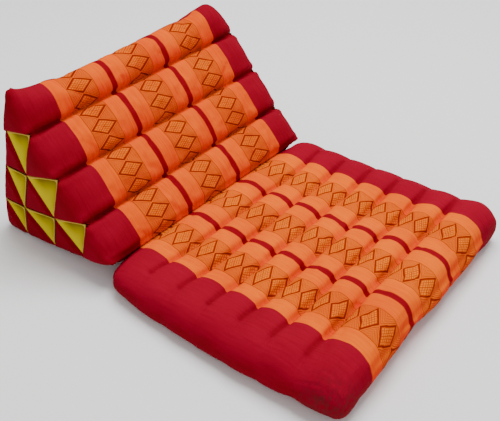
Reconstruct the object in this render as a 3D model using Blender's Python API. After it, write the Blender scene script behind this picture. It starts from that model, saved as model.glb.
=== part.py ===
# Thai triangle cushion with one fold-out seat mat, opened out on the floor.
# Metres. X runs across the cushion, +Y to the back of the wedge, +Z up.
# The wedge is ten stuffed tubes: four rolls make its sloped face and six
# square tubes fill the corner behind them. Yellow gussets close half of each
# square tube's ends. The seat mat is one stuffed piece with seven channels.

import math
from collections import namedtuple

import bmesh
import bpy
from mathutils import Vector

# Sewing
CLEARANCE = 0.0002  # each piece stays this far inside its sewn line
HALF_WIDTH = 0.252  # centre to the sewn edge of the wedge's end panels

# Seam lines across the wedge's end panels, top to bottom: each runs from the
# wedge's back edge to the seam between two rolls on the sloped face.
SeamRow = namedtuple("SeamRow", "back_y back_z front_y front_z")
SEAM_ROWS = (
    SeamRow(0.210, 0.301, 0.210, 0.301),
    SeamRow(0.236, 0.216, 0.168, 0.231),
    SeamRow(0.255, 0.140, 0.113, 0.168),
    SeamRow(0.275, 0.063, 0.057, 0.105),
    SeamRow(0.278, 0.002, 0.000, 0.050),
)
BACK_COLUMN_SHARE = 0.7  # depth of the rearmost tube, next to the others
ROW_SAG = 0.010  # how far a seam row hangs below a straight line
FLOOR_REACH = 0.14  # the wedge's sole lies flat within this half width

# Rolls of the sloped face
ROLL_BULGE = 0.0165
BACK_BULGE = 0.012
SOLE_BULGE = 0.006
ROLL_END_ROUND = 0.050  # length over which a roll's crown falls to its end
ROLL_END_DOME = 0.012  # how far a roll's end stands out past the end panel
EAR_PULL = 0.034  # how far the top of the top roll's +X end is drawn in
TOP_CREST = (0.224, 0.287)  # y, z that the top roll's corner swells towards
CREST_PASSES = 7
ARC_STEPS = 12
SIDE_STEPS = 4
END_ANGLES = (0, 25, 48, 70)  # degrees round a roll's end
ROLL_STATIONS = (-0.19, -0.14, 0.0, 0.14, 0.19)

# Square tubes and their gussets
TUBE_STATIONS = (-0.23, -0.19, -0.14, 0.0, 0.14, 0.19, 0.23)
END_PUFF = 0.003  # swell of the red half of a tube's end
HEEL_SOFTENING = 0.006  # how far the wedge's bottom back corner is rounded off
GUSSET_THICKNESS = 0.0015
GUSSET_SHRINK = 0.992
GUSSET_LIP = 0.0025  # folded rim along the gusset's two square sides
LIP_SHARE = 0.92
POCKET_DEPTH = 0.014
POCKET_SHARE = 0.26  # deepest point, as a share of the way in from the corner

# Seat mat: its cross seams from the wedge to the front. Each row has the seam's
# place and height, the swell of the channel after it and the mat's half widths.
MatSeam = namedtuple("MatSeam", "y z swell left right")
MAT_SEAMS = (
    MatSeam(-0.0050, 0.0500, 0.0085, 0.269, 0.274),
    MatSeam(-0.0650, 0.0480, 0.0100, 0.281, 0.275),
    MatSeam(-0.1250, 0.0490, 0.0105, 0.284, 0.273),
    MatSeam(-0.1850, 0.0510, 0.0120, 0.285, 0.272),
    MatSeam(-0.2450, 0.0540, 0.0125, 0.285, 0.272),
    MatSeam(-0.3040, 0.0580, 0.0150, 0.283, 0.274),
    MatSeam(-0.3650, 0.0640, 0.0000, 0.276, 0.273),
)
# The last channel closes the mat: y, half width lost, foot and top heights
MatEnd = namedtuple("MatEnd", "y narrowing foot top")
MAT_REAR = MatEnd(0.0050, 0.0130, 0.0060, 0.0443)  # tucked under the wedge's foot
MAT_FRONT = (
    MatEnd(-0.3730, 0.0000, 0.0000, 0.0760),
    MatEnd(-0.3860, 0.0000, 0.0000, 0.0850),
    MatEnd(-0.4010, 0.0010, 0.0000, 0.0870),
    MatEnd(-0.4150, 0.0030, 0.0000, 0.0830),
    MatEnd(-0.4255, 0.0060, 0.0020, 0.0740),
    MatEnd(-0.4330, 0.0120, 0.0090, 0.0620),
    MatEnd(-0.4365, 0.0210, 0.0200, 0.0480),
)
# Half of the mat's cross-section: shares of its half width and of its height
MatEdge = namedtuple("MatEdge", "across up")
MAT_SECTION = (
    MatEdge(0.000, 1.00),
    MatEdge(0.280, 1.00),
    MatEdge(0.540, 0.99),
    MatEdge(0.760, 0.97),
    MatEdge(0.880, 0.92),
    MatEdge(0.950, 0.82),
    MatEdge(0.990, 0.64),
    MatEdge(1.000, 0.43),
    MatEdge(0.986, 0.22),
    MatEdge(0.950, 0.05),
    MatEdge(0.915, 0.00),
)
MAT_SOLE_SHARES = (0.5, 0.0, -0.5)
MAT_SIDE_PUFF = 0.002  # how far a channel's end stands out between its seams
SEAM_FADE = (0.88, 1.0)  # shares of the half width over which the seams fade out
MAT_FAN = 0.10  # the channels open out towards -X by this share a metre
MAT_FRONT_BOW = 0.007  # how far the front corners stand out past the middle
MAT_FRONT_SKEW = 0.004  # how far the front's -X corner stands out and the other back
CHANNEL_STEPS = 6

RED_COTTON = ("red_cotton", (0.44, 0.006, 0.016), 0.85)
BAND_CLOTH = ("band_cloth", (0.87, 0.19, 0.022), 0.8)
YELLOW_COTTON = ("yellow_cotton", (0.62, 0.55, 0.010), 0.85)


def clear_scene():
    for old in list(bpy.data.objects):
        bpy.data.objects.remove(old)


def cloth_material(name, colour, roughness):
    material = bpy.data.materials.new(name)
    material.use_nodes = True
    shader = material.node_tree.nodes["Principled BSDF"]
    shader.inputs["Base Color"].default_value = (*colour, 1.0)
    shader.inputs["Roughness"].default_value = roughness
    shader.inputs["Metallic"].default_value = 0.0
    material.diffuse_color = (*colour, 1.0)
    return material


def add_piece(name, points, faces, material):
    """One closed, outward-facing solid from its points and polygons."""
    mesh = bpy.data.meshes.new(name)
    mesh.from_pydata([tuple(p) for p in points], [], faces)
    shell = bmesh.new()
    shell.from_mesh(mesh)
    bmesh.ops.recalc_face_normals(shell, faces=shell.faces)
    bmesh.ops.triangulate(shell, faces=[f for f in shell.faces if len(f.verts) > 4])
    shell.to_mesh(mesh)
    shell.free()
    mesh.materials.append(material)
    mesh.shade_smooth()
    piece = bpy.data.objects.new(name, mesh)
    bpy.context.collection.objects.link(piece)
    return piece


def smooth_step(low, high, value):
    t = min(max((value - low) / (high - low), 0.0), 1.0)
    return t * t * (3.0 - 2.0 * t)


def swell(f):
    """Height of a stuffed arc at share f along its chord, 1 in the middle."""
    return 4.0 * f * (1.0 - f)


def grid_corner(row, column):
    """Corner of the end panel's grid of tubes, as (y, z)."""
    line = SEAM_ROWS[row]
    if column == 0:
        return Vector((line.back_y, line.back_z))
    skipped = 1.0 - BACK_COLUMN_SHARE
    share = (column - skipped) / (row - skipped)
    y = line.back_y + (line.front_y - line.back_y) * share
    z = line.back_z + (line.front_z - line.back_z) * share
    return Vector((y, z - ROW_SAG * swell(share)))


def corner_at(row, column, x):
    """The same corner at a place across the wedge, where the sole settles."""
    corner = grid_corner(row, column)
    if row < len(SEAM_ROWS) - 1 or column == row:
        return corner
    above = grid_corner(row - 1, column)
    to_floor = (corner - above) * (corner.y / (above.y - corner.y))
    lift = max(abs(x) - FLOOR_REACH, 0.0) / (HALF_WIDTH - FLOOR_REACH)
    return corner + to_floor * (1.0 - lift)


def inset(corners):
    """Corners of a polygon moved inwards by the sewing clearance."""
    centre = sum(corners, Vector((0.0, 0.0))) / len(corners)
    moved = []
    for k, here in enumerate(corners):
        before = (here - corners[k - 1]).normalized()
        after = (corners[(k + 1) % len(corners)] - here).normalized()
        normals = []
        for edge in (before, after):
            normal = Vector((-edge.y, edge.x))
            normals.append(normal if normal.dot(centre - here) > 0 else -normal)
        bisector = (normals[0] + normals[1]).normalized()
        moved.append(here + bisector * CLEARANCE / max(bisector.dot(normals[0]), 0.3))
    return moved


def side_points(start, end, bulge, outward, steps):
    """Points from start up to, but not at, end along a swollen side."""
    chord = end - start
    normal = Vector((-chord.y, chord.x)).normalized()
    if normal.dot(outward) < 0:
        normal = -normal
    return [
        start + chord * (k / steps) + normal * bulge * swell(k / steps)
        for k in range(steps)
    ]


def ring_faces(first, second, count):
    """Quads between two rings of points that start at these indices."""
    return [
        (first + k, first + (k + 1) % count, second + (k + 1) % count, second + k)
        for k in range(count)
    ]


def soften(points, centre, amount):
    """Rounds the outline near one point by local averaging."""
    reach = 4
    for _ in range(CREST_PASSES):
        averaged = list(points)
        for step in range(-reach, reach + 1):
            k = (centre + step) % len(points)
            mean = (points[k - 1] + 2.0 * points[k] + points[(k + 1) % len(points)]) / 4.0
            averaged[k] = points[k].lerp(mean, amount)
        points = averaged
    return points


def roll_outline(row, x):
    """Outline of a roll of the sloped face at x: (y, z) points and crown shares."""
    middle = 1.0 - smooth_step(0.10, HALF_WIDTH, abs(x))
    top, inner, foot = (
        corner_at(row, row, x),
        corner_at(row + 1, row, x),
        corner_at(row + 1, row + 1, x),
    )
    if row == 0:
        top = top.lerp(Vector(TOP_CREST), middle)
    top, inner, foot = inset([top, inner, foot])
    is_last = row == len(SEAM_ROWS) - 2
    front = Vector((-1.0, 1.0))
    points = side_points(top, foot, ROLL_BULGE, front, ARC_STEPS)
    sole_bulge = SOLE_BULGE if is_last else 0.0
    points += side_points(foot, inner, sole_bulge, Vector((0.0, -1.0)), SIDE_STEPS)
    back_bulge = BACK_BULGE * middle if row == 0 else 0.0
    points += side_points(inner, top, back_bulge, Vector((1.0, 0.0)), SIDE_STEPS)
    crowns = [swell(k / ARC_STEPS) for k in range(ARC_STEPS)]
    crowns += [0.0] * (2 * SIDE_STEPS)
    if row == 0:
        points = soften(points, 0, middle)
    return points, crowns


def ear_pull(z):
    """How far the top roll's +X end is drawn in at a height."""
    low, high = SEAM_ROWS[1].front_z, SEAM_ROWS[0].front_z
    return EAR_PULL * min(max((z - low) / (high - low), 0.0), 1.0)


def build_roll(row, material):
    """A stuffed roll: crowned along the slope, domed and rounded at its ends."""
    points, faces = [], []
    count = ARC_STEPS + 2 * SIDE_STEPS
    rings = [(-1, angle) for angle in reversed(END_ANGLES)]
    rings += [(0, station) for station in ROLL_STATIONS]
    rings += [(1, angle) for angle in END_ANGLES]
    for side, value in rings:
        if side == 0:
            outline, _ = roll_outline(row, value)
            points += [Vector((value, p.x, p.y)) for p in outline]
            continue
        outline, crowns = roll_outline(row, HALF_WIDTH)
        centre = sum(outline, Vector((0.0, 0.0))) / count
        turn = math.radians(value)
        for p, crown in zip(outline, crowns):
            start = HALF_WIDTH - ROLL_END_ROUND * crown
            reach = HALF_WIDTH + ROLL_END_DOME - start
            q = centre + (p - centre) * math.cos(turn)
            x = start + reach * math.sin(turn)
            if row == 0 and side > 0:
                x -= ear_pull(q.y) * max(1.0 - crown, math.sin(turn))
            points.append(Vector((side * x, q.x, q.y)))
    for k in range(len(rings) - 1):
        faces += ring_faces(k * count, (k + 1) * count, count)
    for side, first in ((-1, 0), (1, (len(rings) - 1) * count)):
        outline, _ = roll_outline(row, HALF_WIDTH)
        centre = sum(outline, Vector((0.0, 0.0))) / count
        x = HALF_WIDTH + ROLL_END_DOME
        if row == 0 and side > 0:
            x -= ear_pull(centre.y)
        points.append(Vector((side * x, centre.x, centre.y)))
        pole = len(points) - 1
        faces += [(first + k, first + (k + 1) % count, pole) for k in range(count)]
    return add_piece(f"roll_{row + 1}", points, faces, material)


def tube_outline(row, column, x):
    """Outline of a square tube at x, from its upper back corner forwards."""
    corners = inset(
        [
            corner_at(row, column, x),
            corner_at(row, column + 1, x),
            corner_at(row + 1, column + 1, x),
            corner_at(row + 1, column, x),
        ]
    )
    back_bulge = 0.0
    if column == 0:
        back_bulge = BACK_BULGE * (1.0 - smooth_step(0.19, HALF_WIDTH, abs(x)))
    bulges = (0.0, 0.0, 0.0, back_bulge)
    points = []
    for k, bulge in enumerate(bulges):
        ahead = corners[(k + 1) % 4]
        points += side_points(corners[k], ahead, bulge, Vector((1.0, 0.0)), SIDE_STEPS)
    if column == 0 and row == len(SEAM_ROWS) - 2:
        heel = 3 * SIDE_STEPS
        towards = (points[SIDE_STEPS] - points[heel]).normalized()
        points[heel] = points[heel] + towards * HEEL_SOFTENING
        points[heel].y = max(points[heel].y, 0.0)
    return points


def end_fan(points, faces, loop, centre, rings):
    """Closes a loop of point indices with shrunken rings and a centre.

    Each ring is (share of the way out, rise along X added to each point).
    """
    base = [points[k].copy() for k in loop]
    previous = list(loop)
    for share, rises in rings:
        ring = []
        for k, corner in enumerate(base):
            place = centre + (corner - centre) * share
            rise = rises[k] if isinstance(rises, list) else rises
            points.append(Vector((corner.x + rise, place.y, place.z)))
            ring.append(len(points) - 1)
        count = len(loop)
        faces += [
            (previous[k], previous[(k + 1) % count], ring[(k + 1) % count], ring[k])
            for k in range(count)
        ]
        previous = ring
    return previous


def pocket_point(corners):
    """Deepest point of a gusset whose square corner is the second one."""
    back, square, low = corners
    return square + (back - square) * POCKET_SHARE + (low - square) * POCKET_SHARE


def add_tube_end(points, faces, last_ring, outline, side):
    """Closes a tube's end: a puffed red half and a recess for the gusset."""
    n = SIDE_STEPS
    high = side * HALF_WIDTH
    low = side * (HALF_WIDTH - GUSSET_THICKNESS - CLEARANCE * 1.5)
    count = 4 * n
    lows, highs = {}, {}
    for k, p in enumerate(outline):
        if k <= 2 * n:
            points.append(Vector((low, p.x, p.y)))
            lows[k] = len(points) - 1
        if k >= 2 * n or k == 0:
            points.append(Vector((high, p.x, p.y)))
            highs[k] = len(points) - 1
    for k in range(count):
        ahead = (k + 1) % count
        wall = [last_ring + k, last_ring + ahead]
        if k < 2 * n:
            wall += [lows[ahead], lows[k]]
        elif k == 2 * n:
            wall += [highs[ahead], highs[k], lows[k]]
        elif ahead == 0:
            wall += [lows[0], highs[0], highs[k]]
        else:
            wall += [highs[ahead], highs[k]]
        faces.append(tuple(wall))
    upper, lower = [highs[0]], [lows[0]]
    for k in range(1, n):
        p = outline[0].lerp(outline[2 * n], k / n)
        for level, row in ((high, upper), (low, lower)):
            points.append(Vector((level, p.x, p.y)))
            row.append(len(points) - 1)
    upper.append(highs[2 * n])
    lower.append(lows[2 * n])
    faces += [(upper[k], upper[k + 1], lower[k + 1], lower[k]) for k in range(n)]

    red_loop = [highs[k] for k in range(2 * n, count)] + [highs[0]] + upper[1:n]
    red_centre = sum((points[k] for k in red_loop), Vector()) / len(red_loop)
    inner = end_fan(points, faces, red_loop, red_centre, [(0.6, side * END_PUFF)])
    faces.append(tuple(inner))

    pocket_loop = [lows[k] for k in range(2 * n + 1)] + lower[n - 1 : 0 : -1]
    corners = [points[lows[0]], points[lows[n]], points[lows[2 * n]]]
    deepest = pocket_point(corners)
    rings = [(0.5, -side * POCKET_DEPTH * 0.5)]
    inner = end_fan(points, faces, pocket_loop, deepest, rings)
    points.append(deepest + Vector((-side * POCKET_DEPTH, 0.0, 0.0)))
    pole = len(points) - 1
    count = len(inner)
    faces += [(inner[k], inner[(k + 1) % count], pole) for k in range(count)]


def build_tube(row, column, material):
    points, faces = [], []
    count = 4 * SIDE_STEPS
    for x in TUBE_STATIONS:
        points += [Vector((x, p.x, p.y)) for p in tube_outline(row, column, x)]
    for k in range(len(TUBE_STATIONS) - 1):
        faces += ring_faces(k * count, (k + 1) * count, count)
    end_outline = tube_outline(row, column, HALF_WIDTH)
    add_tube_end(points, faces, 0, end_outline, -1)
    last_ring = (len(TUBE_STATIONS) - 1) * count
    add_tube_end(points, faces, last_ring, end_outline, 1)
    return add_piece(f"tube_{row + 1}_{column + 1}", points, faces, material)


def build_gusset(row, column, side, material):
    """Yellow three-cornered patch, sunk like a pocket behind a folded lip."""
    n = SIDE_STEPS
    outline = tube_outline(row, column, HALF_WIDTH)
    flat = [Vector((side * HALF_WIDTH, p.x, p.y)) for p in outline[: 2 * n + 1]]
    flat += [flat[2 * n].lerp(flat[0], k / n) for k in range(1, n)]
    deepest = pocket_point([flat[0], flat[n], flat[2 * n]])
    rim = [deepest + (p - deepest) * GUSSET_SHRINK for p in flat]
    lip = [side * GUSSET_LIP if 0 < k < 2 * n else 0.0 for k in range(len(rim))]

    points = [p + Vector((rise, 0.0, 0.0)) for p, rise in zip(rim, lip)]
    faces = []
    count = len(rim)
    front = list(range(count))
    drop = -side * POCKET_DEPTH
    lowered = [drop * (1.0 - LIP_SHARE) - rise for rise in lip]
    halfway = [drop * 0.5 - rise for rise in lip]
    rings = [(LIP_SHARE, lowered), (0.5, halfway)]
    inner = end_fan(points, faces, front, deepest, rings)
    points.append(deepest + Vector((drop, 0.0, 0.0)))
    faces += [(inner[k], inner[(k + 1) % count], len(points) - 1) for k in range(count)]

    behind = Vector((-side * GUSSET_THICKNESS, 0.0, 0.0))
    first_back = len(points)
    points += [p + behind for p in rim]
    back = list(range(first_back, first_back + count))
    inner = end_fan(points, faces, back, deepest + behind, [(0.5, drop * 0.5)])
    points.append(deepest + behind + Vector((drop, 0.0, 0.0)))
    faces += [(inner[k], inner[(k + 1) % count], len(points) - 1) for k in range(count)]
    faces += [
        (front[k], front[(k + 1) % count], back[(k + 1) % count], back[k])
        for k in range(count)
    ]
    hand = "left" if side < 0 else "right"
    return add_piece(f"gusset_{hand}_{row + 1}_{column + 1}", points, faces, material)


MatPlace = namedtuple("MatPlace", "y foot top crown left right")


def mat_places():
    """Cross-sections of the mat from the wedge to the front.

    crown is the height that the mat keeps along its sides, where the seams fade.
    """
    first, last = MAT_SEAMS[0], MAT_SEAMS[-1]
    in_by = MAT_REAR.narrowing
    sides = (first.left - in_by, first.right - in_by)
    places = [MatPlace(MAT_REAR.y, MAT_REAR.foot, MAT_REAR.top, MAT_REAR.top, *sides)]
    for here, ahead in zip(MAT_SEAMS, MAT_SEAMS[1:]):
        for step in range(CHANNEL_STEPS):
            f = step / CHANNEL_STEPS
            y, z, _, left, right = (a + (b - a) * f for a, b in zip(here, ahead))
            pull = MAT_SIDE_PUFF * (1.0 - swell(f))
            top = z + here.swell * swell(f) ** 0.75
            crown = z + here.swell if places[1:] else z
            places.append(MatPlace(y, 0.0, top, max(top, crown), left - pull, right - pull))
    sides = (last.left - MAT_SIDE_PUFF, last.right - MAT_SIDE_PUFF)
    places.append(MatPlace(last.y, 0.0, last.z, last.z + MAT_SEAMS[-2].swell, *sides))
    for end in MAT_FRONT:
        f = (end.y - last.y) / (MAT_FRONT[-1].y - last.y)
        in_by = end.narrowing + MAT_SIDE_PUFF * max(0.0, 1.0 - 2.5 * f)
        crown = max(end.top, last.z + MAT_SEAMS[-2].swell) if f < 0.5 else end.top
        sides = (last.left - in_by, last.right - in_by)
        places.append(MatPlace(end.y, end.foot, end.top, crown, *sides))
    return places


def mat_section():
    """Shares of half width and height round the mat's cross-section."""
    right = [(edge.across, edge.up) for edge in MAT_SECTION]
    sole = [(share, 0.0) for share in MAT_SOLE_SHARES]
    left = [(-edge.across, edge.up) for edge in reversed(MAT_SECTION)]
    return right + sole + left[:-1]


def mat_ring(place):
    """Points round the mat at one of its cross-sections."""
    front = smooth_step(-MAT_SEAMS[-2].y, -MAT_FRONT[-1].y, -place.y)
    ring = []
    for across, up in mat_section():
        x = across * (place.left if across < 0 else place.right)
        y = place.y * (1.0 - MAT_FAN * x)
        y += front * (MAT_FRONT_SKEW * across - MAT_FRONT_BOW * across**4)
        fade = smooth_step(*SEAM_FADE, abs(across))
        height = place.top + (place.crown - place.top) * fade - place.foot
        ring.append(Vector((x, y, place.foot + height * up)))
    return ring


def build_mat(material):
    """The seat mat: seven cross channels, rounded sides and a flat sole."""
    points, faces = [], []
    places = mat_places()
    for place in places:
        points += mat_ring(place)
    count = len(mat_section())
    for k in range(len(places) - 1):
        faces += ring_faces(k * count, (k + 1) * count, count)
    rows = len(MAT_SECTION)
    for first in (0, (len(places) - 1) * count):
        right = [first + k for k in range(rows)]
        left = [first + (count - k) % count for k in range(rows)]
        faces.append((right[0], right[1], left[1]))
        for k in range(1, rows - 1):
            faces.append((right[k], right[k + 1], left[k + 1], left[k]))
        sole = [first + rows - 1 + k for k in range(len(MAT_SOLE_SHARES) + 2)]
        faces.append(tuple(sole))
    return add_piece("seat_mat", points, faces, material)


def stand_over_origin(pieces):
    """Moves every piece so that the whole stands centred over the origin."""
    corners = [Vector(v.co) for piece in pieces for v in piece.data.vertices]
    middle = Vector((0.0, 0.0, min(c.z for c in corners)))
    for axis in (0, 1):
        values = [c[axis] for c in corners]
        middle[axis] = (min(values) + max(values)) / 2.0
    for piece in pieces:
        piece.location = -middle


def main():
    clear_scene()
    red = cloth_material(*RED_COTTON)
    band = cloth_material(*BAND_CLOTH)
    yellow = cloth_material(*YELLOW_COTTON)
    pieces = [build_mat(band)]
    for row in range(len(SEAM_ROWS) - 1):
        pieces.append(build_roll(row, band))
        for column in range(row):
            pieces.append(build_tube(row, column, red))
            pieces += [build_gusset(row, column, side, yellow) for side in (-1, 1)]
    stand_over_origin(pieces)


main()
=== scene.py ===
import math

import bpy
import numpy as np
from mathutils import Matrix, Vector, noise


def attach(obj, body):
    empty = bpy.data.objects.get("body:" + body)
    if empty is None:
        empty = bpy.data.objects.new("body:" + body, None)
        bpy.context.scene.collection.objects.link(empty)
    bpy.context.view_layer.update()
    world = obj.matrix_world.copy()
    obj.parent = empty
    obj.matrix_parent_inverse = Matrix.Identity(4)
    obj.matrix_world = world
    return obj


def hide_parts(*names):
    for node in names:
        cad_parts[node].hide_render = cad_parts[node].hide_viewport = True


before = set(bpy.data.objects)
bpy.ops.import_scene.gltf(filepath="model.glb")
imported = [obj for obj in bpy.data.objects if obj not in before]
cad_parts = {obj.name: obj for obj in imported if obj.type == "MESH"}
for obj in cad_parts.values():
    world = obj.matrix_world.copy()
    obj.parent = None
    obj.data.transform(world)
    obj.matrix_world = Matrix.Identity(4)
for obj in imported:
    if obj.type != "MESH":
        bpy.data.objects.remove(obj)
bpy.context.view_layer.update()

scene = bpy.context.scene

# Where the photograph was taken from, in metres and degrees round the cushion
camera = {
    "place": (-0.96025, -0.777467, 0.9531),
    "azimuth": -51.0,
    "elevation": 35.88,
    "lens": 62.92,
}

# Pale paper floor, one wide lamp above and a weak one from the front right
studio = {
    "floorHex": "#FFFFFF",
    "floorSize": 12.0,
    "skyHex": "#FFFFFF",
    "skyStrength": 0.50,
    "lamps": (
        # name, place, aim, size, watts
        ("overheadBox", (0.7, 0.1, 2.7), (0.0, 0.0, 0.0), 1.8, 96.0),
        ("frontBox", (-1.9, -1.9, 1.3), (0.0, 0.0, 0.1), 1.8, 15.0),
    ),
}

# Where the cushion's sewing lines are counted from, in the shared frame
cushion = {"middle": 0.00525, "junction": 0.08515}

# The wedge's sewn lines across its end panels: back y and z, front y and z from the junction
wedge = {
    "rows": (
        (0.210, 0.301, 0.210, 0.301),
        (0.236, 0.216, 0.168, 0.231),
        (0.255, 0.140, 0.113, 0.168),
        (0.275, 0.063, 0.057, 0.105),
        (0.278, 0.002, 0.000, 0.050),
    ),
    "backShare": 0.7,
    "rowSag": 0.010,
    "crest": (0.224, 0.287),  # the top roll's corner between its two ears
    "earStart": 0.10,
    "halfWidth": 0.252,
    "bulge": 0.0165,
    "seamDepth": 0.0072,
    "seamWidth": 0.0038,
    "puff": 0.0032,  # fuller shoulders beside a face seam
    "puffAt": 0.0135,
    "puffWidth": 0.0110,
    "endDepth": 0.0004,
    "endWidth": 0.0030,
    "pucker": 0.0009,
    "puckerLength": 0.013,
    "lumps": 0.0016,
    "lumpSize": 0.075,
    "roundEnds": 90,  # smoothing passes that round the rolls over into the end panels
    "roundFrom": 0.070,  # they start and are whole this far inside the end panels
    "roundWhole": 0.028,
    "roundSwell": 0.0036,
    "endReach": (0.215, 0.250),  # seams and shoulders die out over this part of the ends
    "pocketEdge": 0.0022,  # the red cloth goes down at once, then this steeply and this far
    "pocketSlope": 3.2,
    "pocketDepth": 0.026,
    "pocketLength": 0.035,
    "slotHalf": 0.0032,  # what the gussets' tips leave open in the back, drawn shut
    "slotReach": 0.0140,
    "slotSides": (0.208, 0.220),
    "slotBack": (-0.014, -0.007),
    # how strongly painted light and shade change the wedge cloth's colour
    "paintedLightStrength": 0.62,
}

# Cross seams of the seat mat, wedge to front: y, z and the swell of the channel after
mat = {
    "fan": 0.10,
    "seams": (
        (-0.0050, 0.0500, 0.0085),
        (-0.0650, 0.0480, 0.0100),
        (-0.1250, 0.0490, 0.0105),
        (-0.1850, 0.0510, 0.0120),
        (-0.2450, 0.0540, 0.0125),
        (-0.3040, 0.0580, 0.0150),
        (-0.3650, 0.0640, 0.0),
    ),
    "front": (
        (-0.3730, 0.0760),
        (-0.3860, 0.0850),
        (-0.4010, 0.0870),
        (-0.4150, 0.0830),
        (-0.4255, 0.0740),
        (-0.4330, 0.0620),
        (-0.4365, 0.0480),
        (-0.4365, 0.0240),
        (-0.4320, 0.0000),
    ),
    "steps": 10,
    "seamReach": (0.165, 0.236),  # the seams run out over this part of the red margin
    "creaseReach": (0.240, 0.268),  # and thin creases go on to here
    "creaseDepth": 0.0020,
    "creaseWidth": 0.0032,
    "seamDepth": 0.0064,
    "seamWidth": 0.0044,
    "tuck": 0.0075,  # how far the rear edge is sewn in under the first roll
    "pucker": 0.0009,
    "puckerLength": 0.012,
    "lumps": 0.0016,
    "lumpSize": 0.06,
    "sidePuff": 0.0045,  # the long sides swell past their sewn ends
    "sideReach": (0.170, 0.232),
    "sideFront": (-0.430, -0.385),
    "sidePasses": 60,
    "wander": 0.0010,  # how far the seams stray from straight
    # how strongly painted light and shade change the mat cloth's colour
    "paintedLightStrength": 0.88,
    "clothScale": 1.0228,
    "clothShift": -0.0072,
    "clothSkew": 0.0800,
    "clothStart": 0.0060,  # cloth taken up in the first channel
    "clothFront": 0.92,
}

# How the cases are stuffed: pressed out from a slightly smaller shape
stuffing = {
    "pressure": 5.0,
    "slack": 0.015,
    "shrink": 0.0012,
    "frames": 14,
    "wedgeVoxel": 0.0056,
    "matVoxel": 0.0058,
    "wedgeCap": 0.0050,
    "matCap": 0.0050,
    "seamGrip": 0.0045,
}

# Yellow gussets: a dished triangle behind a folded rim on its two square sides
gusset = {
    "depth": 0.018,
    "flat": 0.0006,  # how far the long side stands off the red half
    "rim": 0.0030,
    "rimWidth": 0.0024,
    "rimInset": 0.0024,
    "slope": 0.0065,
    "spread": 0.0014,  # the square sides reach past their seam lines
    "tucked": -0.0025,  # and on the +X side stay under the rolls at the face
    "inset": 0.0060,
    "shadeTop": 0.024,
    "shadeFront": 0.012,
    "cells": 40,
    "thickness": 0.0010,
}

# The banded cloth across the cushion, in metres from its middle
bands = {
    "redEdge": 0.189,
    "stripe": 0.0655,
    "stripeHalf": 0.0056,
    "stripeRim": 0.0011,
    "diamondBand": 0.131,
    "bandHalf": 0.0288,
    "edgeLine": 0.0006,
    "diamondHalf": 0.0297,
    # in shares of a diamond's repeat, from 0 in its middle to 1 at its tips
    "outline": 0.865,
    "outlineHalf": 0.08,
    "crossing": 1.12,
    "crossingHalf": 0.03,
    "inside": 0.79,
    "cell": 0.125,
    "cellGap": 0.040,
    "crossHalf": 0.045,
    "hatchCell": 0.08,
    "hatchHalf": 0.032,
    "pitch": 0.0325,
    "phase": 0.0245,
    "skew": 0.072,
    "rollLength": 0.0975,
}


def linear(hexColour):
    values = [int(hexColour[k : k + 2], 16) / 255 for k in (1, 3, 5)]
    return tuple(v / 12.92 if v <= 0.04045 else ((v + 0.055) / 1.055) ** 2.4 for v in values) + (1.0,)


def addNode(tree, kind, settings=None, **links):
    # settings are properties, links are sockets or fixed values by input name or number
    node = tree.nodes.new(kind)
    for name, value in (settings or {}).items():
        setattr(node, name, value)
    for name, value in links.items():
        key = int(name[1:]) if name[0] == "i" and name[1:].isdigit() else name.replace("_", " ")
        if isinstance(value, bpy.types.NodeSocket):
            tree.links.new(value, node.inputs[key])
        else:
            node.inputs[key].default_value = value
    return node


def smoothStep(low, high, value):
    t = np.clip((value - low) / (high - low), 0.0, 1.0)
    return t * t * (3.0 - 2.0 * t)


def select(piece):
    bpy.ops.object.select_all(action="DESELECT")
    piece.select_set(True)
    bpy.context.view_layer.objects.active = piece


def positions(piece):
    values = np.empty(len(piece.data.vertices) * 3)
    piece.data.vertices.foreach_get("co", values)
    return values.reshape(-1, 3)


def setPositions(piece, values):
    piece.data.vertices.foreach_set("co", values.ravel())
    piece.data.update()


def normalsOf(piece):
    values = np.empty(len(piece.data.vertices) * 3)
    piece.data.vertex_normals.foreach_get("vector", values)
    return values.reshape(-1, 3)


def setCamera():
    data = bpy.data.cameras.new("photoCamera")
    data.lens = camera["lens"]
    data.sensor_width = 36.0
    body = bpy.data.objects.new("photoCamera", data)
    scene.collection.objects.link(body)
    body.location = camera["place"]
    azimuth, elevation = math.radians(camera["azimuth"]), math.radians(camera["elevation"])
    body.rotation_euler = (math.pi / 2 - elevation, 0.0, azimuth)
    scene.camera = body
    print("camera set")


def setStudio():
    bpy.ops.object.select_all(action="DESELECT")
    bpy.ops.mesh.primitive_plane_add(size=studio["floorSize"], location=(0.0, 0.0, 0.0))
    floor = bpy.context.object
    floor.name = "studioFloor"
    paper = bpy.data.materials.new("studioPaper")
    paper.use_nodes = True
    shader = paper.node_tree.nodes["Principled BSDF"]
    shader.inputs["Base Color"].default_value = linear(studio["floorHex"])
    shader.inputs["Roughness"].default_value = 0.9
    floor.data.materials.append(paper)
    world = bpy.data.worlds.new("studioSky")
    scene.world = world
    world.use_nodes = True
    sky = world.node_tree.nodes["Background"]
    sky.inputs["Color"].default_value = linear(studio["skyHex"])
    sky.inputs["Strength"].default_value = studio["skyStrength"]
    for name, place, aim, size, watts in studio["lamps"]:
        data = bpy.data.lights.new(name, "AREA")
        data.size = size
        data.energy = watts
        lamp = bpy.data.objects.new(name, data)
        scene.collection.objects.link(lamp)
        lamp.location = place
        lamp.rotation_euler = (Vector(aim) - Vector(place)).to_track_quat("-Z", "Y").to_euler()
    print("studio set")


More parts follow.
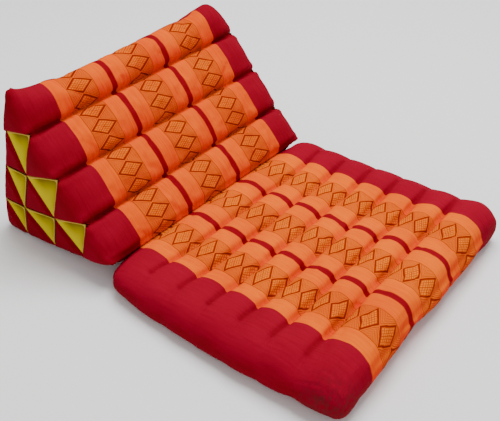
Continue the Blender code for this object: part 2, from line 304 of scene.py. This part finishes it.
def copyOf(nodes, name):
    # the CAD solids' own shape as one new mesh
    copies = []
    for node in nodes:
        piece = bpy.data.objects.new(name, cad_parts[node].data.copy())
        scene.collection.objects.link(piece)
        piece.data.materials.clear()
        copies.append(piece)
    select(copies[0])
    for piece in copies[1:]:
        piece.select_set(True)
    if len(copies) > 1:
        bpy.ops.object.join()
    piece = copies[0]
    bpy.ops.object.mode_set(mode="EDIT")
    bpy.ops.mesh.select_all(action="SELECT")
    bpy.ops.mesh.remove_doubles(threshold=0.00002)
    bpy.ops.object.mode_set(mode="OBJECT")
    return piece


def rounded(piece, passes, roundOf):
    # smooths what roundOf picks, in three strengths
    share = roundOf(positions(piece))
    group = piece.vertex_groups.new(name="rounded")
    for value in (0.3, 0.6, 1.0):
        members = np.flatnonzero(np.abs(share - value) <= 0.2)
        group.add(members.tolist(), value, "REPLACE")
    smooth = piece.modifiers.new("roundedEnds", "SMOOTH")
    smooth.factor = 0.5
    smooth.iterations = passes
    smooth.vertex_group = group.name
    bpy.ops.object.modifier_apply(modifier=smooth.name)
    piece.vertex_groups.clear()


def stuff(piece, voxel, cap, gripOf, roundPasses, roundOf):
    # voxel mesh, then cloth pressed out by its filling, held where gripOf says
    select(piece)
    piece.data.remesh_voxel_size = voxel
    bpy.ops.object.voxel_remesh()
    rounded(piece, roundPasses, roundOf)
    start = positions(piece)
    normals = normalsOf(piece)
    grip = gripOf(start, normals)
    start = start - normals * stuffing["shrink"] * (1.0 - grip[:, None])
    setPositions(piece, start)
    seamGroup = piece.vertex_groups.new(name="seams")
    seamGroup.add(np.flatnonzero(grip > 0.5).tolist(), 1.0, "REPLACE")
    cloth = piece.modifiers.new("stuffing", "CLOTH")
    cloth.settings.quality = 4
    cloth.settings.mass = 0.3
    cloth.settings.tension_stiffness = 12
    cloth.settings.compression_stiffness = 12
    cloth.settings.bending_stiffness = 0.4
    cloth.settings.shrink_min = -stuffing["slack"]
    cloth.settings.use_pressure = True
    cloth.settings.uniform_pressure_force = stuffing["pressure"]
    cloth.settings.vertex_group_mass = seamGroup.name
    cloth.settings.effector_weights.gravity = 0.0
    cloth.collision_settings.use_collision = False
    for step in range(1, stuffing["frames"] + 1):
        scene.frame_set(step)
    pressed = piece.evaluated_get(bpy.context.evaluated_depsgraph_get())
    move = positions(pressed) - start
    piece.modifiers.remove(cloth)
    scene.frame_set(1)
    length = np.linalg.norm(move, axis=1, keepdims=True)
    usual, most = (round(float(value) * 1000, 2) for value in (length.mean(), length.max()))
    print(piece.name, "moved by", usual, "mm, at most", most)
    move *= np.minimum(1.0, cap / np.maximum(length, 1e-9))
    setPositions(piece, start + move)
    rounded(piece, roundPasses // 3, roundOf)
    smooth = piece.modifiers.new("finerCloth", "SUBSURF")
    smooth.levels = smooth.render_levels = 1
    bpy.ops.object.modifier_apply(modifier=smooth.name)
    bpy.ops.object.shade_smooth()


def lumpy(points, size, seed):
    # slow unevenness of hand stuffing, -1 to 1
    shift = Vector((seed * 3.1, seed * 1.7, seed * 2.3))
    return np.array([noise.noise(Vector(p) / size + shift) for p in points])


def sewing(points):
    # across, back and up from the cushion's own sewing lines
    return points[:, 0] - cushion["middle"], points[:, 1] - cushion["junction"], points[:, 2]


def layCloth(piece, across, along, **shares):
    # cloth coordinates in metres as the piece's UV map, and named shares such as where it is plain
    mesh = piece.data
    uv = mesh.uv_layers.new(name="clothMap")
    for name, values in shares.items():
        share = mesh.attributes.new(name, "FLOAT", "POINT")
        share.data.foreach_set("value", values)
    corner = np.empty(len(mesh.loops), dtype=np.int32)
    mesh.loops.foreach_get("vertex_index", corner)
    uv.data.foreach_set("uv", np.stack((across[corner], along[corner]), axis=1).ravel())


def paintedLightAndShade(points, normals, near, seed):
    # painted light and shade: lighter where the cloth faces up and stands out, darker in the folds, along the seams and
    # on the sides, varied a little at random
    up = smoothStep(-0.05, 0.85, normals[:, 2])
    out = 1.0 - 0.8 * np.exp(-((near / 0.006) ** 1.5))
    return np.clip(up * out * (0.92 + 0.30 * lumpy(points, 0.06, seed)), 0.0, 1.0)


def lineDistance(y, z, start, end):
    # distance in the end plane from points to a straight sewn line
    line = np.array(end) - np.array(start)
    t = np.clip(((y - start[0]) * line[0] + (z - start[1]) * line[1]) / max(line.dot(line), 1e-9), 0.0, 1.0)
    return np.hypot(y - start[0] - t * line[0], z - start[1] - t * line[1])


def gridCorner(row, column):
    # corner of the end panel's grid of tubes, as back and up
    backY, backZ, frontY, frontZ = wedge["rows"][row]
    if column == 0:
        return backY, backZ
    skipped = 1.0 - wedge["backShare"]
    share = (column - skipped) / (row - skipped)
    sag = wedge["rowSag"] * 4.0 * share * (1.0 - share)
    return backY + (frontY - backY) * share, backZ + (frontZ - backZ) * share - sag


def gussetCorners():
    # each yellow triangle: its node's row and column, its back, square and low corners
    found = []
    for row in range(1, 4):
        for column in range(row):
            corners = (gridCorner(row, column), gridCorner(row, column + 1), gridCorner(row + 1, column + 1))
            found.append((row + 1, column + 1, corners))
    return found


def insideTriangle(y, z, corners):
    # how far points lie inside a triangle, negative outside it
    middle = np.mean(corners, axis=0)
    inside = np.full(len(y), 9.0)
    for (ya, za), (yb, zb) in zip(corners, corners[1:] + corners[:1]):
        length = math.hypot(yb - ya, zb - za)
        away = ((yb - ya) * (z - za) - (zb - za) * (y - ya)) / length
        sign = math.copysign(1.0, (yb - ya) * (middle[1] - za) - (zb - za) * (middle[0] - ya))
        inside = np.minimum(inside, away * sign)
    return inside


def topSeam(x):
    # the top roll's corner is a rounded crest between its ears
    middle = 1.0 - smoothStep(wedge["earStart"], wedge["halfWidth"], np.abs(x))
    y, z = wedge["rows"][0][2:]
    return y + (wedge["crest"][0] - y) * middle, z + (wedge["crest"][1] - z) * middle


def slopeCloth(x, y, z):
    # metres along the face's cloth, height over the roll's chord and how far off its ends
    topY, topZ = topSeam(x)
    seams = [row[2:] for row in wedge["rows"]]
    best = np.full(len(x), 9.0)
    along, outward = np.zeros(len(x)), np.zeros(len(x))
    for k in range(4):
        startY = topY if k == 0 else np.full(len(x), seams[k][0])
        startZ = topZ if k == 0 else np.full(len(x), seams[k][1])
        dy, dz = seams[k + 1][0] - startY, seams[k + 1][1] - startZ
        chord = np.hypot(dy, dz)
        share = ((y - startY) * dy + (z - startZ) * dz) / chord**2
        height = ((y - startY) * dz - (z - startZ) * dy) / chord
        slope = 4.0 * wedge["bulge"] / chord
        f = np.clip(share, 0.0, 1.0)

        def arc(t):
            # length along a parabola of this bulge from its middle
            v = slope * (2.0 * t - 1.0)
            return (v * np.sqrt(1.0 + v * v) + np.arcsinh(v)) / (4.0 * slope)

        length = chord * (arc(f) - arc(0.0)) + (share - f) * chord
        miss = np.abs(share - f)
        nearer = miss < best
        best = np.where(nearer, miss, best)
        along = np.where(nearer, length + k * bands["rollLength"], along)
        outward = np.where(nearer, height, outward)
    return along, outward, best


def buildWedge():
    tubes = [f"tube_{row}_{column}" for row in range(2, 5) for column in range(1, row)]
    nodes = [f"roll_{k}" for k in range(1, 5)] + tubes
    piece = copyOf(nodes, "wedgeCase")
    faceSeams = [row[2:] for row in wedge["rows"][1:]]
    backSeams = [row[:2] for row in wedge["rows"][1:4]]
    endLines = []
    for row in range(1, 5):
        for column in range(row):
            endLines.append((gridCorner(row, column), gridCorner(row, column + 1)))
            endLines.append((gridCorner(row - 1, min(column, row - 1)), gridCorner(row, column)))
    triangles = [corners for _, _, corners in gussetCorners()]

    def faceDistance(points):
        x, y, z = sewing(points)
        return np.min([np.hypot(y - seamY, z - seamZ) for seamY, seamZ in faceSeams], axis=0)

    def backDistance(points):
        x, y, z = sewing(points)
        return np.min([np.where(y > seamY - 0.02, np.abs(z - seamZ), 9.0) for seamY, seamZ in backSeams], axis=0)

    def endDistance(points):
        x, y, z = sewing(points)
        near = np.min([lineDistance(y, z, start, end) for start, end in endLines], axis=0)
        return np.where(np.abs(x) > wedge["halfWidth"] - 0.006, near, 9.0)

    def pocketReach(points):
        # how far inside a gusset's pocket, on the two end panels
        x, y, z = sewing(points)
        inside = np.max([insideTriangle(y, z, corners) for corners in triangles], axis=0)
        return np.where(np.abs(x) > wedge["halfWidth"] - wedge["pocketLength"], inside, -1.0)

    def roundOf(points):
        x, y, z = sewing(points)
        side = smoothStep(wedge["halfWidth"] - wedge["roundFrom"], wedge["halfWidth"] - wedge["roundWhole"], np.abs(x))
        away = smoothStep(0.004, 0.014, faceDistance(points)) * smoothStep(0.002, 0.008, endDistance(points))
        clear = np.where(pocketReach(points) > -0.004, 0.0, 1.0)
        foot = smoothStep(0.004, 0.02, z)
        return side * away * clear * foot

    def gripOf(points, normals):
        near = np.min([faceDistance(points), backDistance(points), endDistance(points)], axis=0)
        held = (near < stuffing["seamGrip"]) | (pocketReach(points) > -0.002) | (points[:, 2] < 0.004)
        return np.where(held, 1.0, 0.0)

    stuff(piece, stuffing["wedgeVoxel"], stuffing["wedgeCap"], gripOf, wedge["roundEnds"], roundOf)

    points, normals = positions(piece), normalsOf(piece)
    x, y, z = sewing(points)
    along, outward, miss = slopeCloth(x, y, z)
    nearFace, nearBack, nearEnd = faceDistance(points), backDistance(points), endDistance(points)
    pocket = pocketReach(points)
    free = smoothStep(0.0, 0.006, z) * np.where(pocket > 0.0, 0.0, 1.0)
    nearFoot = np.hypot(y - faceSeams[3][0], z - faceSeams[3][1])
    aboveFoot = smoothStep(0.006, 0.016, nearFoot)
    move = -wedge["seamDepth"] * np.exp(-((nearFace / wedge["seamWidth"]) ** 2)) * aboveFoot
    inEnd = 1.0 - smoothStep(*wedge["endReach"], np.abs(x))
    move += wedge["puff"] * np.exp(-(((nearFace - wedge["puffAt"]) / wedge["puffWidth"]) ** 2)) * aboveFoot * inEnd
    move -= 0.6 * wedge["seamDepth"] * np.exp(-((nearBack / wedge["seamWidth"]) ** 2)) * inEnd
    move += wedge["roundSwell"] * roundOf(points)
    move -= wedge["endDepth"] * np.exp(-((nearEnd / wedge["endWidth"]) ** 2)) * smoothStep(0.004, 0.012, nearFace)
    # gathers run across each seam and die out up the roll
    ripple = np.sin(2.0 * np.pi * x / wedge["puckerLength"] + 5.0 * lumpy(points, 0.03, 3))
    near = np.minimum(nearFace, nearBack)
    strength = np.exp(-((near / 0.016) ** 2)) * (0.3 + 0.7 * np.abs(lumpy(points, 0.05, 4)))
    move += wedge["pucker"] * ripple * strength
    move += wedge["lumps"] * lumpy(points, wedge["lumpSize"], 1) * np.clip(near / 0.02, 0.0, 1.0)
    move += stuffing["shrink"] * 0.5 * np.clip(near / 0.012, 0.0, 1.0)
    points = points + normals * (move * free)[:, None]
    # the red cloth goes down under the gussets' edges
    sunk = np.clip(wedge["pocketEdge"] + pocket * wedge["pocketSlope"], 0.0, wedge["pocketDepth"])
    deepest = wedge["halfWidth"] - sunk
    under = (pocket > 0.0) & (np.abs(x) > deepest)
    points[:, 0] = np.where(under, cushion["middle"] + np.sign(x) * deepest, points[:, 0])
    half, reach = wedge["slotHalf"], wedge["slotReach"]
    for seamY, seamZ in backSeams:
        off = np.abs(z - seamZ)
        shut = np.maximum(off - half, 0.0) * reach / (reach - half)
        share = smoothStep(*wedge["slotSides"], np.abs(x)) * smoothStep(*wedge["slotBack"], y - seamY) * (off < reach)
        points[:, 2] += np.sign(z - seamZ) * (shut - off) * share
    setPositions(piece, points)

    faceSide = smoothStep(-0.0045, -0.0015, outward) * np.where(miss > 0.02, 0.0, 1.0)
    # painted light and shade for the wedge: paler on upward faces, darker in folds, seams and undersides
    fade = paintedLightAndShade(points, normals, np.min([nearFace, nearBack, nearEnd], axis=0), 9)
    layCloth(piece, x, along, plainCloth=1.0 - faceSide, faded=fade * wedge["paintedLightStrength"])
    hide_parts(*nodes)
    print("wedge stuffed", len(piece.data.polygons), "faces")
    return piece


def matProfile():
    # points along the top of the mat and down its front, and the running length there
    places = []
    for here, ahead in zip(mat["seams"], mat["seams"][1:]):
        for step in range(mat["steps"]):
            f = step / mat["steps"]
            lift = here[2] * (4.0 * f * (1.0 - f)) ** 0.75
            places.append((here[0] + (ahead[0] - here[0]) * f, here[1] + (ahead[1] - here[1]) * f + lift))
    places.append(mat["seams"][-1][:2])
    places += mat["front"]
    lengths = [0.0]
    for (ya, za), (yb, zb) in zip(places, places[1:]):
        lengths.append(lengths[-1] + math.hypot(yb - ya, zb - za))
    return np.array(places), np.array(lengths)


def lengthAlong(row, z, places, lengths):
    # cloth length from the junction, measured down the front past the last crest
    along = np.interp(-row, -places[:, 0], lengths)
    nearest = np.full(len(row), 9.0)
    first = len(places) - len(mat["front"])
    for k in range(first, len(places) - 1):
        line = places[k + 1] - places[k]
        t = np.clip(((row - places[k][0]) * line[0] + (z - places[k][1]) * line[1]) / line.dot(line), 0.0, 1.0)
        miss = np.hypot(row - places[k][0] - t * line[0], z - places[k][1] - t * line[1])
        closer = (row < -0.395) & (miss < nearest)
        nearest = np.where(closer, miss, nearest)
        along = np.where(closer, lengths[k] + t * (lengths[k + 1] - lengths[k]), along)
    crest = lengths[first + 1]
    return np.where(along > crest, crest + (along - crest) * mat["clothFront"], along)


def buildMat():
    piece = copyOf(["seat_mat"], "seatMat")
    rear = positions(piece)
    rear[:, 1] += mat["tuck"] * smoothStep(-0.002, 0.004, rear[:, 1] - cushion["junction"])
    setPositions(piece, rear)
    places, lengths = matProfile()
    seamY = [seam[0] for seam in mat["seams"]][1:]

    def seamDistance(points):
        x, y, z = sewing(points)
        row = y / (1.0 - mat["fan"] * x)
        return np.min([np.abs(row - seam) for seam in seamY], axis=0)

    def gripOf(points, normals):
        x, y, z = sewing(points)
        onTop = (normals[:, 2] > 0.2) & (np.abs(x) < mat["seamReach"][0])
        held = onTop & (seamDistance(points) < stuffing["seamGrip"]) | (z < 0.004) | (y > -0.006)
        return np.where(held, 1.0, 0.0)

    def roundOf(points):
        # the long sides are one smooth swell under the seams' ends
        x, y, z = sewing(points)
        return smoothStep(*mat["sideReach"], np.abs(x)) * smoothStep(*mat["sideFront"], y)

    stuff(piece, stuffing["matVoxel"], stuffing["matCap"], gripOf, mat["sidePasses"], roundOf)

    points, normals = positions(piece), normalsOf(piece)
    x, y, z = sewing(points)
    near = seamDistance(points)
    wander = mat["wander"] * lumpy(points, 0.09, 6)
    top = smoothStep(0.1, 0.5, normals[:, 2])
    fade = 1.0 - smoothStep(*mat["seamReach"], np.abs(x))
    move = -mat["seamDepth"] * np.exp(-(((near + wander) / mat["seamWidth"]) ** 2)) * top * fade
    crease = (1.0 - smoothStep(*mat["creaseReach"], np.abs(x))) * (1.0 - fade) * top
    move -= mat["creaseDepth"] * np.exp(-(((near + wander) / mat["creaseWidth"]) ** 2)) * crease
    ripple = np.sin(2.0 * np.pi * x / mat["puckerLength"] + 6.0 * lumpy(points, 0.03, 7))
    strength = np.exp(-((near / 0.015) ** 2)) * (0.3 + 0.7 * np.abs(lumpy(points, 0.05, 8)))
    move += mat["pucker"] * ripple * strength * top * fade
    move += mat["sidePuff"] * roundOf(points)
    lumps = mat["lumps"] * lumpy(points, mat["lumpSize"], 5) * np.clip(near / 0.02, 0.2, 1.0)
    move += lumps * (1.0 - 0.7 * roundOf(points))
    move += stuffing["shrink"] * 0.5 * np.clip(near / 0.012, 0.0, 1.0)
    move = move * smoothStep(0.0, 0.006, z) * smoothStep(-0.002, -0.014, y)
    points = points + normals * move[:, None]
    points[:, 2] = np.maximum(points[:, 2], 0.0)
    setPositions(piece, points)

    row = y / (1.0 - mat["fan"] * x)
    along = lengthAlong(row, z, places, lengths)
    along -= mat["clothStart"] * (1.0 - smoothStep(0.04, 0.095, along))
    along = along * mat["clothScale"] + mat["clothShift"] + x * mat["clothSkew"]
    plain = smoothStep(0.3, 0.7, -normals[:, 2])
    wholeSeam = np.where(np.abs(x) < mat["seamReach"][1], near, 0.03)
    # painted light and shade for the mat: paler on upward faces, darker in folds, seams and undersides
    layCloth(piece, x, along, plainCloth=plain, faded=paintedLightAndShade(points, normals, wholeSeam, 10) * mat["paintedLightStrength"])
    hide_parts("seat_mat")
    print("seat mat stuffed", len(piece.data.polygons), "faces")
    return piece


def buildGussets():
    pieces = []
    for row, column, corners in gussetCorners():
        back, square, low = (np.array(c) for c in corners)
        # tips at the panel's outer edge stay inside it, the square corner reaches past its seams
        alongTop = (square - back) / np.linalg.norm(square - back)
        alongFront = (square - low) / np.linalg.norm(square - low)
        if column == 1:
            back = back + alongTop * gusset["inset"]
        if row == 4:
            low = low + alongFront * gusset["inset"]
        back, low = back + alongFront * gusset["spread"], low + alongTop * gusset["spread"]
        seamCorner = square
        for hand, side in (("left", -1), ("right", 1)):
            atFace = side > 0 and column == row - 1
            square = seamCorner + (gusset["tucked"] if atFace else gusset["spread"]) * (alongTop + alongFront)
            twice = abs((back - square)[0] * (low - square)[1] - (back - square)[1] * (low - square)[0])
            bpy.ops.object.select_all(action="DESELECT")
            bpy.ops.mesh.primitive_grid_add(x_subdivisions=gusset["cells"], y_subdivisions=gusset["cells"], size=2.0)
            piece = bpy.context.object
            piece.name = f"gusset{hand.title()}{row}{column}"
            # cells crowd towards the folded rims, and one side closes to the low tip
            share = positions(piece) * 0.5 + 0.5
            u, v = share[:, 0] ** 1.7, share[:, 1] ** 1.4
            toBack, toLow = u * (1.0 - v), v
            flat = square + np.outer(toBack, back - square) + np.outer(toLow, low - square)
            fromTop = toLow * twice / np.linalg.norm(back - square)
            fromFront = toBack * twice / np.linalg.norm(low - square)
            inward = 1.0 - toBack - toLow
            topWall = 1.0 - np.exp(-((fromTop / gusset["slope"]) ** 2))
            walls = topWall * (1.0 - np.exp(-((fromFront / gusset["slope"]) ** 2)))
            dip = gusset["depth"] * np.clip(inward / 0.75, 0.0, 1.0) ** 0.85 * walls
            edge = np.minimum(fromTop, fromFront)
            onRim = np.exp(-(((edge - gusset["rimInset"]) / gusset["rimWidth"]) ** 2))
            onRim = onRim * smoothStep(0.0, 0.10, inward)
            out = wedge["halfWidth"] + gusset["flat"] + gusset["rim"] * onRim - dip
            place = np.column_stack((side * out + cushion["middle"], flat[:, 0] + cushion["junction"], flat[:, 1]))
            # painted shade: the fold is darker just under its rims and lighter beside the long side
            under = np.exp(-((fromTop / gusset["shadeTop"]) ** 2))
            under = under + 0.8 * np.exp(-((fromFront / gusset["shadeFront"]) ** 2))
            shade = under * smoothStep(0.0, 0.25, inward) * (1.0 - onRim)
            for name, values in (("onRim", onRim), ("faded", 1.0 - np.clip(shade, 0.0, 1.0))):
                shares = piece.data.attributes.new(name, "FLOAT", "POINT")
                shares.data.foreach_set("value", values)
            setPositions(piece, place)
            bpy.ops.object.mode_set(mode="EDIT")
            bpy.ops.mesh.select_all(action="SELECT")
            bpy.ops.mesh.remove_doubles(threshold=0.00005)
            bpy.ops.mesh.normals_make_consistent(inside=False)
            bpy.ops.object.mode_set(mode="OBJECT")
            if sum(p.normal.x for p in piece.data.polygons) * side < 0:
                piece.data.flip_normals()
            thick = piece.modifiers.new("clothThickness", "SOLIDIFY")
            thick.thickness = gusset["thickness"]
            thick.offset = -1.0
            bpy.ops.object.modifier_apply(modifier=thick.name)
            bpy.ops.object.shade_smooth()
            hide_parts(f"gusset_{hand}_{row}_{column}")
            pieces.append(piece)
    print("gussets sewn", len(pieces))
    return pieces


def clothBump(tree, shader, weaveOn=None):
    # thread relief of plain weave, fine fuzz where no threads are drawn, and soft creases
    place = addNode(tree, "ShaderNodeTexCoord")
    fuzz = addNode(tree, "ShaderNodeTexNoise", None, Vector=place.outputs["Object"], Scale=900.0, Detail=2.0)
    height = fuzz.outputs["Fac"]
    if weaveOn:
        vector, share = weaveOn
        threads = []
        for direction in ("X", "Y"):
            settings = {"bands_direction": direction, "wave_profile": "SIN"}
            wave = addNode(tree, "ShaderNodeTexWave", settings, i0=vector, Scale=260.0, Distortion=0.8)
            threads.append(wave.outputs["Fac"])
        weave = addNode(tree, "ShaderNodeMath", {"operation": "MULTIPLY"}, i0=threads[0], i1=threads[1])
        both = addNode(tree, "ShaderNodeMix", {"data_type": "FLOAT"}, i0=share, i2=weave.outputs[0], i3=height)
        height = both.outputs[0]
    rough = {"Scale": 26.0, "Detail": 4.0, "Roughness": 0.6, "Distortion": 0.4}
    crease = addNode(tree, "ShaderNodeTexNoise", None, Vector=place.outputs["Object"], **rough)
    soft = addNode(tree, "ShaderNodeBump", None, Strength=0.45, Distance=0.0022, Height=crease.outputs["Fac"])
    fine = addNode(tree, "ShaderNodeBump", None, Strength=0.35, Distance=0.0005, Height=height, Normal=soft.outputs[0])
    tree.links.new(fine.outputs[0], shader.inputs["Normal"])


def startCotton(name):
    # cotton: matt, no clear highlight
    cotton = bpy.data.materials.new(name)
    cotton.use_nodes = True
    shader = cotton.node_tree.nodes["Principled BSDF"]
    shader.inputs["Roughness"].default_value = 0.92
    shader.inputs["Specular IOR Level"].default_value = 0.04
    return cotton, cotton.node_tree, shader


def mixed(tree, share, first, second):
    # colour between two by a share
    values = [linear(v) if isinstance(v, str) else v for v in (first, second)]
    return addNode(tree, "ShaderNodeMix", {"data_type": "RGBA"}, i0=share, i6=values[0], i7=values[1]).outputs[2]


def yellowCotton():
    # plain dyed cotton: painted shade in dark olive deep in the fold under the rims, paler on the rims
    cotton, tree, shader = startCotton("yellowGussetCotton")
    place = addNode(tree, "ShaderNodeTexCoord")
    patchy = addNode(tree, "ShaderNodeTexNoise", None, Vector=place.outputs["Object"], Scale=22.0, Detail=4.0)
    faded = addNode(tree, "ShaderNodeAttribute", {"attribute_name": "faded"})
    rim = addNode(tree, "ShaderNodeAttribute", {"attribute_name": "onRim"})
    colour = mixed(tree, patchy.outputs["Fac"], "#C6B204", "#DAC604")
    # painted shade: the vertex attribute turned round, so the dark olive goes under the rims
    shade = addNode(tree, "ShaderNodeMath", {"operation": "MULTIPLY_ADD"}, i0=faded.outputs["Fac"], i1=-1.0, i2=1.0)
    colour = mixed(tree, shade.outputs[0], colour, "#604600")
    pale = addNode(tree, "ShaderNodeMath", {"operation": "MULTIPLY"}, i0=rim.outputs["Fac"], i1=0.9)
    colour = mixed(tree, pale.outputs[0], colour, "#C8A050")
    tree.links.new(colour, shader.inputs["Base Color"])
    clothBump(tree, shader)
    return cotton


def bandedCotton():
    # handwoven cotton with bands, thin stripes and diamonds in the weave
    cotton, tree, shader = startCotton("bandedWovenCotton")
    cloth = addNode(tree, "ShaderNodeUVMap", {"uv_map": "clothMap"})
    split = addNode(tree, "ShaderNodeSeparateXYZ", i0=cloth.outputs[0])
    plain = addNode(tree, "ShaderNodeAttribute", {"attribute_name": "plainCloth"})
    faded = addNode(tree, "ShaderNodeAttribute", {"attribute_name": "faded"})
    place = addNode(tree, "ShaderNodeTexCoord")
    half = bands["pitch"] * 0.5
    made = {"across": split.outputs[0], "along": split.outputs[1], "plain": plain.outputs["Fac"]}
    steps = (
        # result, operation, first, second
        ("side", "ABSOLUTE", "across"),
        ("red0", "GREATER_THAN", "side", bands["redEdge"]),
        ("red", "MAXIMUM", "red0", "plain"),
        ("fromStripe", "SUBTRACT", "side", bands["stripe"]),
        ("stripeOff", "ABSOLUTE", "fromStripe"),
        ("stripe", "LESS_THAN", "stripeOff", bands["stripeHalf"]),
        ("stripeRim", "LESS_THAN", "stripeOff", bands["stripeHalf"] + bands["stripeRim"]),
        # three diamond bands fold onto one: distance from the nearest band's middle
        ("bandShift", "ADD", "across", bands["diamondBand"] * 1.5),
        ("bandSaw", "FLOORED_MODULO", "bandShift", bands["diamondBand"]),
        ("bandPos", "SUBTRACT", "bandSaw", bands["diamondBand"] * 0.5),
        ("bandOff", "ABSOLUTE", "bandPos"),
        ("inBand", "LESS_THAN", "bandOff", bands["bandHalf"]),
        ("edgeOff0", "SUBTRACT", "bandOff", bands["bandHalf"]),
        ("edgeOff", "ABSOLUTE", "edgeOff0"),
        ("edge", "LESS_THAN", "edgeOff", bands["edgeLine"]),
        # place inside one diamond's repeat along the band, from -1 to 1 both ways
        ("skewed", "MULTIPLY", "across", bands["skew"]),
        ("row0", "SUBTRACT", "along", "skewed"),
        ("row1", "SUBTRACT", "row0", bands["phase"] - half),
        ("row2", "FLOORED_MODULO", "row1", bands["pitch"]),
        ("row3", "SUBTRACT", "row2", half),
        ("rowPos", "DIVIDE", "row3", half),
        ("colPos", "DIVIDE", "bandPos", bands["diamondHalf"]),
        ("rowAbs", "ABSOLUTE", "rowPos"),
        ("colAbs", "ABSOLUTE", "colPos"),
        ("reach", "ADD", "rowAbs", "colAbs"),
        ("lineOff0", "SUBTRACT", "reach", bands["outline"]),
        ("lineOff", "ABSOLUTE", "lineOff0"),
        ("outline0", "LESS_THAN", "lineOff", bands["outlineHalf"]),
        ("outline", "MULTIPLY", "outline0", "inBand"),
        ("crossOff0", "SUBTRACT", "reach", bands["crossing"]),
        ("crossOff", "ABSOLUTE", "crossOff0"),
        ("crossing0", "LESS_THAN", "crossOff", bands["crossingHalf"]),
        ("crossing", "MULTIPLY", "crossing0", "inBand"),
        ("inside0", "LESS_THAN", "reach", bands["inside"]),
        ("inside", "MULTIPLY", "inside0", "inBand"),
        # four leaves inside the diamond, parted by a cross and a finer lattice
        ("slantA", "ADD", "rowPos", "colPos"),
        ("slantB", "SUBTRACT", "rowPos", "colPos"),
        ("cellA", "PINGPONG", "slantA", bands["cell"]),
        ("cellB", "PINGPONG", "slantB", bands["cell"]),
        ("cellMin", "MINIMUM", "cellA", "cellB"),
        ("leaf0", "GREATER_THAN", "cellMin", bands["cellGap"]),
        ("leaf", "MULTIPLY", "leaf0", "inside"),
        ("crossA", "ABSOLUTE", "slantA"),
        ("crossB", "ABSOLUTE", "slantB"),
        ("crossMin", "MINIMUM", "crossA", "crossB"),
        ("crossBar0", "LESS_THAN", "crossMin", bands["crossHalf"]),
        ("crossBar", "MULTIPLY", "crossBar0", "inside"),
        # fine hatching outside it
        ("hatchWave", "PINGPONG", "reach", bands["hatchCell"]),
        ("hatch0", "LESS_THAN", "hatchWave", bands["hatchHalf"]),
        ("hatch", "MULTIPLY", "hatch0", "inBand"),
    )
    for result, operation, *values in steps:
        inputs = {f"i{k}": made.get(v, v) if isinstance(v, str) else v for k, v in enumerate(values)}
        made[result] = addNode(tree, "ShaderNodeMath", {"operation": operation}, **inputs).outputs[0]
    paints = (
        # mask, colour in painted shade (folds, seams and sides), colour in painted light (where the cloth faces up),
        # strength
        ("inBand", "#CE3E04", "#F06A04", 1.0),
        ("hatch", "#962804", "#B84404", 0.65),
        ("crossing", "#8A2404", "#AC3C06", 0.7),
        ("inside", "#B03404", "#CE5204", 1.0),
        ("leaf", "#DA4A04", "#FC8404", 0.9),
        ("crossBar", "#982804", "#B43E04", 0.8),
        ("outline", "#660C04", "#841604", 0.95),
        ("edge", "#8A2404", "#A83606", 0.8),
        ("stripeRim", "#C42C10", "#DC4A1C", 0.7),
        ("stripe", "#7A0410", "#92081A", 1.0),
        ("red", "#7E0618", "#9C0A28", 1.0),
    )
    # slow change of the dye over the cloth
    patchy = addNode(tree, "ShaderNodeTexNoise", None, Vector=place.outputs["Object"], Scale=11.0, Detail=5.0)
    patches = addNode(tree, "ShaderNodeMath", {"operation": "MULTIPLY_ADD"}, i0=patchy.outputs["Fac"], i1=0.5, i2=-0.25)
    # uneven threads run round the rolls, drawn about 2 mm wide so that they show
    stretched = addNode(tree, "ShaderNodeMapping", None, Vector=cloth.outputs[0], Scale=(1.0, 0.05, 1.0))
    thread = addNode(tree, "ShaderNodeTexNoise", None, Vector=stretched.outputs[0], Scale=380.0, Detail=3.0)
    streaks = addNode(tree, "ShaderNodeMath", {"operation": "MULTIPLY_ADD"}, i0=thread.outputs["Fac"], i1=0.8, i2=-0.4)
    uneven = addNode(tree, "ShaderNodeMath", {"operation": "ADD"}, i0=patches.outputs[0], i1=streaks.outputs[0])
    clamped = {"operation": "ADD", "use_clamp": True}
    # painted light and shade from the vertex attribute, plus random tone of the dye and threads; deep colours stand for
    # shade, pale ones for light
    paintedLightAndTone = addNode(tree, "ShaderNodeMath", clamped, i0=faded.outputs["Fac"], i1=uneven.outputs[0])
    colour = mixed(tree, paintedLightAndTone.outputs[0], "#D43004", "#FC6E00")
    for mask, deep, pale, strength in paints:
        share = addNode(tree, "ShaderNodeMath", {"operation": "MULTIPLY"}, i0=made[mask], i1=strength)
        colour = mixed(tree, share.outputs[0], colour, mixed(tree, paintedLightAndTone.outputs[0], deep, pale))
    # a little soil on the front corner, where it is dragged
    corner = (-0.262, -0.352, 0.035)
    away = addNode(tree, "ShaderNodeVectorMath", {"operation": "DISTANCE"}, i0=place.outputs["Object"], i1=corner)
    close = addNode(tree, "ShaderNodeMapRange", None, Value=away.outputs[1], From_Min=0.060, From_Max=0.012)
    specks = addNode(tree, "ShaderNodeTexNoise", None, Vector=place.outputs["Object"], Scale=150.0, Detail=4.0)
    grains = addNode(tree, "ShaderNodeMapRange", None, Value=specks.outputs["Fac"], From_Min=0.36, From_Max=0.72)
    soiled = addNode(tree, "ShaderNodeMath", {"operation": "MULTIPLY"}, i0=close.outputs[0], i1=grains.outputs[0])
    soil = addNode(tree, "ShaderNodeMath", {"operation": "MULTIPLY"}, i0=soiled.outputs[0], i1=0.8)
    colour = mixed(tree, soil.outputs[0], colour, "#4A1E22")
    tree.links.new(colour, shader.inputs["Base Color"])
    clothBump(tree, shader, (cloth.outputs[0], plain.outputs["Fac"]))
    return cotton


def main():
    setCamera()
    setStudio()
    banded = bandedCotton()
    yellow = yellowCotton()
    groups = (
        ([buildMat(), buildWedge()], banded, "band_cloth"),
        (buildGussets(), yellow, "yellow_cotton"),
    )
    for pieces, cotton, slot in groups:
        for piece in pieces:
            piece.data.materials.append(cotton)
            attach(piece, "root")


main()
